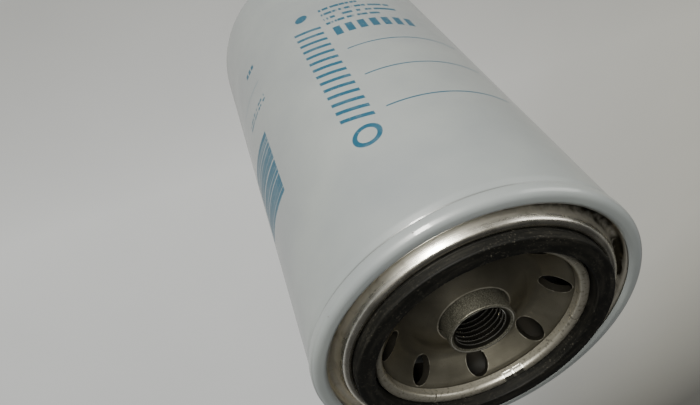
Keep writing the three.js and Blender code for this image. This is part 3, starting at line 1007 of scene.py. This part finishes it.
# %% [markdown]
# The spring is wound from round wire, with its end turns closed up so that it stands square. One disc is
# spun three times, and each spin goes on from the last section of the one before: slow climb, fast climb,
# slow climb. The real spring is squashed along the axis as the element slides; here it is drawn at one
# length and given a mesh of its own.

# %% Coil spring
TURNS = 4.5
END_TURNS = 0.8
END_GAP = 0.3 * mm
END_PITCH = WIRE + END_GAP
END_BEVEL = 0.25 * mm
WIRE_SIDES = 20
STEPS_PER_TURN = 60
spring_foot = seat_floor + HAIR_GAP
spring_climb = spring_high.z - spring_foot - WIRE
middle_turns = TURNS - 2 * END_TURNS
middle_pitch = (spring_climb - 2 * END_TURNS * END_PITCH) / middle_turns

wire_mesh = bmesh.new()
start = Matrix.Translation((SPRING_RADIUS, 0, spring_foot + WIRE / 2))
start = start @ Matrix.Rotation(math.pi / 2, 4, "X")
bmesh.ops.create_circle(wire_mesh, cap_ends=False, segments=WIRE_SIDES, radius=WIRE / 2, matrix=start)
last = wire_mesh.verts[:] + wire_mesh.edges[:]
for turns, pitch in ((END_TURNS, END_PITCH), (middle_turns, middle_pitch), (END_TURNS, END_PITCH)):
    steps = round(turns * STEPS_PER_TURN)
    last = bmesh.ops.spin(
        wire_mesh, geom=last, cent=(0, 0, 0), axis=(0, 0, 1), dvec=(0, 0, turns * pitch / steps),
        angle=2 * math.pi * turns, steps=steps, use_merge=False, use_duplicate=False,
    )["geom_last"]
open_edges = [edge for edge in wire_mesh.edges if edge.is_boundary]
ends = bmesh.ops.holes_fill(wire_mesh, edges=open_edges, sides=0)
rims = list({edge for face in ends["faces"] for edge in face.edges})
round_off(wire_mesh, rims, END_BEVEL, 3, affect="EDGES")
bmesh.ops.recalc_face_normals(wire_mesh, faces=wire_mesh.faces[:])
spring = to_piece(wire_mesh, "spring")


# %% Spring steel
def spring_steel():
    steel = Finish("spring_steel", Specular_Tint=color(226, 228, 232))
    drawn = grain(steel, 0.5, detail=3, place=around(steel, 40))
    clouds = grain(steel, 4, detail=4)
    body = mix(drawn, color(108, 110, 114), color(150, 152, 154))
    oil = contrast(clouds, 0.55, 0.2)
    body = mix(oil * 0.4, body, color(92, 86, 76))
    return steel.paint(
        Base_Color=body,
        Metallic=1 - oil * 0.15,
        Roughness=drawn * 0.15 + clouds * 0.1 + 0.22,
        Normal=bump(steel, drawn, 0.012),
    )


stands_for(spring, "coil_spring", "housing", spring_steel())
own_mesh(spring)

# %% [markdown]
# ## The element's end caps
# Two shallow cups hold the ends of the pleats. Both are pressed sheet. The lower one is closed and has a
# boss that centres the spring; the upper one has a hole for the rubber grommet, whose groove snaps over the
# hole's edge.

# %% End caps
CAP_WALL = 0.8 * mm
CAP_ROUND = 1.6 * mm
STEP_OUTER = 26 * mm
STEP_INNER = 19 * mm
STEP_RUN = 1 * mm
STEP_RISE = 0.5 * mm
GROMMET_LIP = 1.9 * mm
GROMMET_CLEARANCE = 0.1 * mm
top_cap_low, top_cap_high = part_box("top_end_cap")
grommet_low, grommet_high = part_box("element_grommet")
grommet_groove = grommet_high.x - GROMMET_LIP
top_cap = pressed_ring(
    "top_cap",
    [
        (top_cap_high.x, top_cap_low.z),
        (top_cap_high.x, top_cap_high.z, CAP_ROUND),
        (STEP_OUTER, top_cap_high.z, 0.8 * mm),
        (STEP_OUTER - STEP_RUN, top_cap_high.z + STEP_RISE, 0.6 * mm),
        (STEP_INNER + STEP_RUN, top_cap_high.z + STEP_RISE, 0.6 * mm),
        (STEP_INNER, top_cap_high.z, 0.8 * mm),
        (grommet_groove + GROMMET_CLEARANCE, top_cap_high.z),
    ],
    CAP_WALL,
    looks_up=True,
)
stands_for(top_cap, "top_end_cap", "element", zinc_steel("zinc_top_cap"))

# %% Lower cap
bottom_cap_low, bottom_cap_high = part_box("bottom_end_cap")
BOSS_DEPTH = 2.2 * mm
BOSS_ROUND = 0.6 * mm
bottom_level = bottom_cap_low.z + BOSS_DEPTH
bottom_cap = pressed_ring(
    "bottom_cap",
    [
        (0, bottom_cap_low.z),
        (seat_inner - BOSS_DEPTH, bottom_cap_low.z, BOSS_ROUND),
        (seat_inner, bottom_level, BOSS_ROUND),
        (bottom_cap_high.x, bottom_level, CAP_ROUND),
        (bottom_cap_high.x, bottom_cap_high.z),
    ],
    CAP_WALL,
    looks_up=False,
)
stands_for(bottom_cap, "bottom_end_cap", "element", zinc_steel("zinc_lower_cap"))

# %% [markdown]
# The rubber grommet seals the element to the hub's spigot. A moulder gives it soft corners and sealing ribs
# in the bore, so its section is a closed outline with a groove outside and small dents inside.

# %% Grommet
GROMMET_WALL = 3.8 * mm
GROMMET_TAPER = 1 * mm
GROMMET_ROUND = 0.4 * mm
GROOVE_ROUND = 0.1 * mm
DENTS = 4  # rings pressed into the bore, with a rib left between each two
DENT_START = 1.6 * mm
DENT_PITCH = 2.6 * mm
DENT_HALF = 0.5 * mm
DENT_DEPTH = 0.35 * mm
grommet_bore = grommet_high.x - GROMMET_WALL
grommet_end = grommet_high.x - GROMMET_TAPER
notch_top = top_cap_high.z + HAIR_GAP
notch_bottom = top_cap_high.z - CAP_WALL - HAIR_GAP
dents = []
for index in range(DENTS):
    level = grommet_high.z - DENT_START - index * DENT_PITCH
    dents += [
        (grommet_bore, level + DENT_HALF, 0.2 * mm),
        (grommet_bore + DENT_DEPTH, level, 0.25 * mm),
        (grommet_bore, level - DENT_HALF, 0.2 * mm),
    ]
grommet = turned_ring(
    "grommet",
    [
        (grommet_end, grommet_high.z, GROMMET_ROUND),
        (grommet_bore, grommet_high.z, GROMMET_ROUND),
        *dents,
        (grommet_bore, grommet_low.z, GROMMET_ROUND),
        (grommet_end, grommet_low.z, GROMMET_ROUND),
        (grommet_high.x, notch_bottom, GROMMET_ROUND),
        (grommet_groove, notch_bottom, GROOVE_ROUND),
        (grommet_groove, notch_top, GROOVE_ROUND),
        (grommet_high.x, notch_top, GROMMET_ROUND),
    ],
)
grommet_rubber = black_rubber("grommet_rubber", (32, 31, 30))
stands_for(grommet, "element_grommet", "element", grommet_rubber)

# %% [markdown]
# Plastisol is poured into the caps and cured, which sets the ends of the pleats in it. It wets the walls,
# so its free face climbs a little at both edges.

# %% Potting
POTTING_CORNER = 1.6 * mm
POTTING_ROUND = 0.6 * mm
POTTING_INNER = 16.9 * mm
MENISCUS = 0.5 * mm  # how far the free face climbs
WET_EDGE = 0.8 * mm  # how far from the wall it starts to


def potting(name, node, free, cap):
    """A ring of plastisol from its free face to the cap that holds it."""
    _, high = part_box(node)
    away = math.copysign(1, cap - free)
    ring = turned_ring(
        name,
        [
            (POTTING_INNER, cap),
            (POTTING_INNER, free),
            (POTTING_INNER + WET_EDGE, free + away * MENISCUS, 0.4 * mm),
            (high.x - WET_EDGE, free + away * MENISCUS, 0.4 * mm),
            (high.x, free),
            (high.x, cap - away * POTTING_CORNER, POTTING_ROUND),
            (high.x - POTTING_CORNER, cap, POTTING_ROUND),
        ],
    )
    red = soft_finish(name + "_red", (150, 62, 46), (118, 44, 34), 5, 0.55, 0.03)
    stands_for(ring, node, "element", red)


top_potting_low, top_potting_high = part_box("top_potting")
bottom_potting_low, bottom_potting_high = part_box("bottom_potting")
potting("potting_top", "top_potting", top_potting_low.z, top_potting_high.z)
potting("potting_bottom", "bottom_potting", bottom_potting_high.z, bottom_potting_low.z)

# %% [markdown]
# A tube of perforated strip keeps the pleats from collapsing. Here it is a turned ring carved by short
# rods, one to a hole, and every second row is turned by half a step. Rods that stop short of the axis never
# meet each other.

# %% Centre tube
tube_low, tube_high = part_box("centre_tube")
TUBE_WALL = 0.8 * mm
TUBE_ROWS = 5
TUBE_COLUMNS = 6
TUBE_HOLE = 3 * mm
PLAIN_END = 12 * mm
TUBE_LIP = 0.15 * mm
ROD_SIDES = 32
ROD_REACH = 6 * mm
tube_inner = tube_high.x - TUBE_WALL
tube = turned_ring(
    "tube",
    [
        (tube_inner, tube_low.z, TUBE_LIP),
        (tube_high.x, tube_low.z, TUBE_LIP),
        (tube_high.x, tube_high.z, TUBE_LIP),
        (tube_inner, tube_high.z, TUBE_LIP),
    ],
)
rods = bmesh.new()
row_pitch = (tube_high.z - tube_low.z - 2 * PLAIN_END) / (TUBE_ROWS - 1)
for row in range(TUBE_ROWS):
    for column in range(TUBE_COLUMNS):
        place = (
            Matrix.Rotation((column + (row + 1) % 2 / 2) * 2 * math.pi / TUBE_COLUMNS, 4, "Z")
            @ Matrix.Translation((tube_high.x, 0, tube_low.z + PLAIN_END + row * row_pitch))
            @ Matrix.Rotation(math.pi / 2, 4, "Y")
        )
        bmesh.ops.create_cone(
            rods, cap_ends=True, segments=ROD_SIDES, radius1=TUBE_HOLE, radius2=TUBE_HOLE,
            depth=ROD_REACH, matrix=place,
        )
carve(tube, rods)
stands_for(tube, "centre_tube", "element", zinc_steel("zinc_tube"))

# %% [markdown]
# ## The folded paper
# The medium is one long strip of resin-treated paper, folded into pleats and bent round the tube. One pleat
# is drawn as a bent wire, duplicated round the axis by the spin, joined at its ends and pulled up to full
# height. Solidify gives the paper its thickness. The first pleat is pushed in a little, where the clip
# closes over the strip's ends.

# %% Pleated paper
media_low, media_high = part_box("pleated_media")
clip_low, clip_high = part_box("media_seam_clip")
PAPER = 0.8 * mm
PLEATS = 36
PLEAT_GAP = 0.15 * mm
OUTER_HALF = 0.8 * mm
INNER_HALF = 0.5 * mm
FOLD_ROUND = 0.35 * mm
CLIP_WALL = 0.6 * mm
outer_fold = clip_high.x
inner_fold = tube_high.x + PLEAT_GAP + PAPER
half_step = math.pi / PLEATS


def pull_up(bm, height):
    """Draws every edge up into a wall of that height."""
    wall = bmesh.ops.extrude_edge_only(bm, edges=bm.edges[:])
    risen = [part for part in wall["geom"] if isinstance(part, bmesh.types.BMVert)]
    bmesh.ops.translate(bm, verts=risen, vec=(0, 0, height))


paper = bmesh.new()
inner_middle = Matrix.Rotation(half_step, 3, "Z") @ Vector((inner_fold, 0, 0))
inner_side = Matrix.Rotation(half_step, 3, "Z") @ Vector((0, INNER_HALF, 0))
next_fold = Matrix.Rotation(2 * half_step, 3, "Z") @ Vector((outer_fold, -OUTER_HALF, 0))
bent_wire(paper, [
    Vector((outer_fold, -OUTER_HALF, 0)),
    Vector((outer_fold, OUTER_HALF, 0)),
    inner_middle - inner_side,
    inner_middle + inner_side,
    next_fold,
])
bmesh.ops.spin(
    paper, geom=paper.verts[:] + paper.edges[:], cent=(0, 0, 0), axis=(0, 0, 1), dvec=(0, 0, 0),
    angle=2 * math.pi * (PLEATS - 1) / PLEATS, steps=PLEATS - 1, use_merge=False, use_duplicate=True,
)
bmesh.ops.remove_doubles(paper, verts=paper.verts[:], dist=0.01 * mm)
first_pleat = [
    vert for vert in paper.verts
    if vert.co.x > outer_fold - 1 * mm and abs(vert.co.y) < 2 * OUTER_HALF
]
bmesh.ops.translate(paper, verts=first_pleat, vec=(-CLIP_WALL - PLEAT_GAP, 0, 0))
round_off(paper, paper.verts[:], FOLD_ROUND, 3)
bmesh.ops.translate(paper, verts=paper.verts[:], vec=(0, 0, media_low.z))
pull_up(paper, media_high.z - media_low.z)
bmesh.ops.recalc_face_normals(paper, faces=paper.faces[:])
bmesh.ops.solidify(paper, geom=paper.faces[:], thickness=PAPER)
bmesh.ops.recalc_face_normals(paper, faces=paper.faces[:])
reaches = [vert.co.xy.length / mm for vert in paper.verts]
print("paper spans radius", round(min(reaches), 2), "to", round(max(reaches), 2), "mm")
media = to_piece(paper, "media")


# %% Filter paper
def filter_paper():
    sheet = Finish("filter_paper", Specular_IOR_Level=0.2)
    fibres = grain(sheet, 0.6, detail=6, roughness=0.7)
    clouds = grain(sheet, 11, detail=4)
    body = mix(fibres, color(196, 164, 112), color(222, 194, 146))
    body = mix(clouds * 0.4, body, color(206, 172, 118))
    corrugation = sheet.z.math("SINE", sheet.z * 3.2)
    # painted shade: the paper darkens towards the inner folds, deep between the pleats
    pleat_valley_shade = 1 - contrast(sheet.radius, 30, 16)
    body = mix(pleat_valley_shade * 0.35, body, color(150, 118, 74))
    return sheet.paint(
        Base_Color=body,
        Roughness=fibres * 0.12 + 0.82,
        Normal=bump(sheet, corrugation * 0.6 + fibres, 0.08),
    )


stands_for(media, "pleated_media", "element", filter_paper())

# %% [markdown]
# A strip of sheet is folded over the pleat where the paper's two ends meet. It is a wire bent into a U,
# pulled up and given its thickness, in the same way as the paper.

# %% Seam clip
CLIP_ROUND = 0.7 * mm
clip = bmesh.new()
clip_half = clip_high.y
corners = bent_wire(clip, [
    (clip_low.x, -clip_half, clip_low.z),
    (clip_high.x, -clip_half, clip_low.z),
    (clip_high.x, clip_half, clip_low.z),
    (clip_low.x, clip_half, clip_low.z),
])
round_off(clip, corners[1:3], CLIP_ROUND, 4)
pull_up(clip, clip_high.z - clip_low.z)
front = max(clip.faces, key=lambda face: face.calc_center_median().x)
if front.normal.x < 0:
    bmesh.ops.reverse_faces(clip, faces=clip.faces[:])
bmesh.ops.solidify(clip, geom=clip.faces[:], thickness=CLIP_WALL)
bmesh.ops.recalc_face_normals(clip, faces=clip.faces[:])
stands_for(to_piece(clip, "clip"), "media_seam_clip", "element", zinc_steel("zinc_clip"))

# %% [markdown]
# Four beads of adhesive thread go round the pleats and keep them evenly spaced. Between two folds the
# thread takes the short way, so each bead is a ring whose outline dips a little from fold to fold.

# %% Adhesive beads
BANDS = 4
BAND_WALL = 0.7 * mm
BAND_DIP = 0.12 * mm
BAND_ROUND = 0.34 * mm
BAND_STEPS = 8 * PLEATS
adhesive = soft_finish("adhesive_cream", (232, 222, 198), (206, 192, 160), 4, 0.5, 0.03)
for index in range(1, BANDS + 1):
    band_low, band_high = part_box(f"pleat_band_{index}")
    inner = band_high.x - BAND_WALL
    bead = section([
        (inner, band_low.z, 0.1 * mm),
        (band_high.x, band_low.z, BAND_ROUND),
        (band_high.x, band_high.z, BAND_ROUND),
        (inner, band_high.z, 0.1 * mm),
    ])
    spin_round(bead, BAND_STEPS)
    for vert in bead.verts:
        dip = (1 - math.cos(PLEATS * math.atan2(vert.co.y, vert.co.x))) / 2
        share = 1 - BAND_DIP * dip / vert.co.xy.length
        vert.co.x *= share
        vert.co.y *= share
    stands_for(to_piece(bead, f"bead_{index}"), f"pleat_band_{index}", "element", adhesive)

# %% [markdown]
# ## Floor, light and sky
# The filter stands on a pale table that glows a little, so its sides are lit from below and its mouth stays
# dark; the glow is painted light, as the table is no lamp. It fades far from the filter, and it dims towards
# +y and on the +x side as a painted shadow of the filter; far out on +x it is a little warmer. A tall narrow
# window stands low on one side, and it draws the highlights on the ridge and the seam. The sky is pale at the
# horizon and dark overhead.

# %% Floor
FLOOR_REACH = 3
FLOOR_DROP = 0.05 * mm
floor_bm = bmesh.new()
under = Matrix.Translation((0, 0, -FLOOR_DROP))
bmesh.ops.create_grid(floor_bm, x_segments=1, y_segments=1, size=FLOOR_REACH, matrix=under)
floor = to_piece(floor_bm, "floor")
table = Finish("table_top", Specular_IOR_Level=0.2, Emission_Strength=0.88)
cloth = grain(table, 90, detail=3)
# painted light and shadow: the glow fades with distance, and dims towards +y and +x as a painted shadow of
# the filter
painted_light_and_shadow = (1 - contrast(table.radius, 520, 340) * 0.83) * (1 - contrast(table.y, 5, 110) * 0.6)
painted_light_and_shadow = painted_light_and_shadow * (1 - contrast(table.x, 60, 140) * 0.3)
glow = mix(contrast(table.x, 150, 260), color(207, 208, 206), color(207, 204, 190))
glow = mix(painted_light_and_shadow * (cloth * 0.06 + 0.94), color(0, 0, 0), glow)
base = mix(cloth, color(96, 97, 96), color(104, 104, 103))
table_top = table.paint(Base_Color=base, Emission_Color=glow, Roughness=cloth * 0.1 + 0.7)
floor.data.materials.append(table_top)

# %% Lights
def softbox(name, azimuth, elevation, distance, width, height, power, tint):
    """An area light seen from the mouth at those angles in degrees, facing it; sizes in millimetres."""
    data = bpy.data.lights.new(name, "AREA")
    data.shape = "RECTANGLE"
    data.size = width * mm
    data.size_y = height * mm
    data.energy = power
    data.color = tint
    light = bpy.data.objects.new(name, data)
    turn = Matrix.Rotation(math.radians(azimuth), 4, "Z")
    turn = turn @ Matrix.Rotation(-math.radians(elevation), 4, "Y")
    facing_axis = Matrix(((0, 0, 1), (1, 0, 0), (0, 1, 0)))
    light.location = turn @ Vector((distance * mm, 0, 0)) + Vector((0, 0, mouth))
    light.rotation_euler = (turn.to_3x3() @ facing_axis).to_euler()
    bpy.context.scene.collection.objects.link(light)


softbox("window", 106, 19, 700, 110, 640, 20, (1, 0.98, 0.91))
softbox("fill", 30, 8, 800, 500, 500, 3, (1, 0.98, 0.94))

# %% Sky
HORIZON = (0.58, 0.6, 0.62, 1)
ZENITH = (0.05, 0.05, 0.05, 1)
BRIGHT_SIDE = (1, 1, 1, 1)
DIM_SIDE = (0.42, 0.42, 0.42, 1)
sky = bpy.data.worlds.new("sky")
sky.use_nodes = True
page = sky.node_tree
way = page.nodes.new("ShaderNodeTexCoord")
split = page.nodes.new("ShaderNodeSeparateXYZ")
page.links.new(way.outputs["Generated"], split.inputs[0])


def sky_fade(axis, start, end, first, last):
    """A fade along one axis of the direction looked in."""
    fade = page.nodes.new("ShaderNodeValToRGB")
    for stop, position, tone in zip(fade.color_ramp.elements, (start, end), (first, last)):
        stop.position = position
        stop.color = tone
    page.links.new(split.outputs[axis], fade.inputs[0])
    return fade.outputs[0]


shade = page.nodes.new("ShaderNodeMix")
shade.data_type = "RGBA"
shade.blend_type = "MULTIPLY"
shade.inputs[0].default_value = 1
page.links.new(sky_fade("Z", 0.1, 0.42, HORIZON, ZENITH), shade.inputs[6])
page.links.new(sky_fade("X", 0, 0.35, BRIGHT_SIDE, DIM_SIDE), shade.inputs[7])
page.links.new(shade.outputs[2], page.nodes["Background"].inputs["Color"])
bpy.context.scene.world = sky
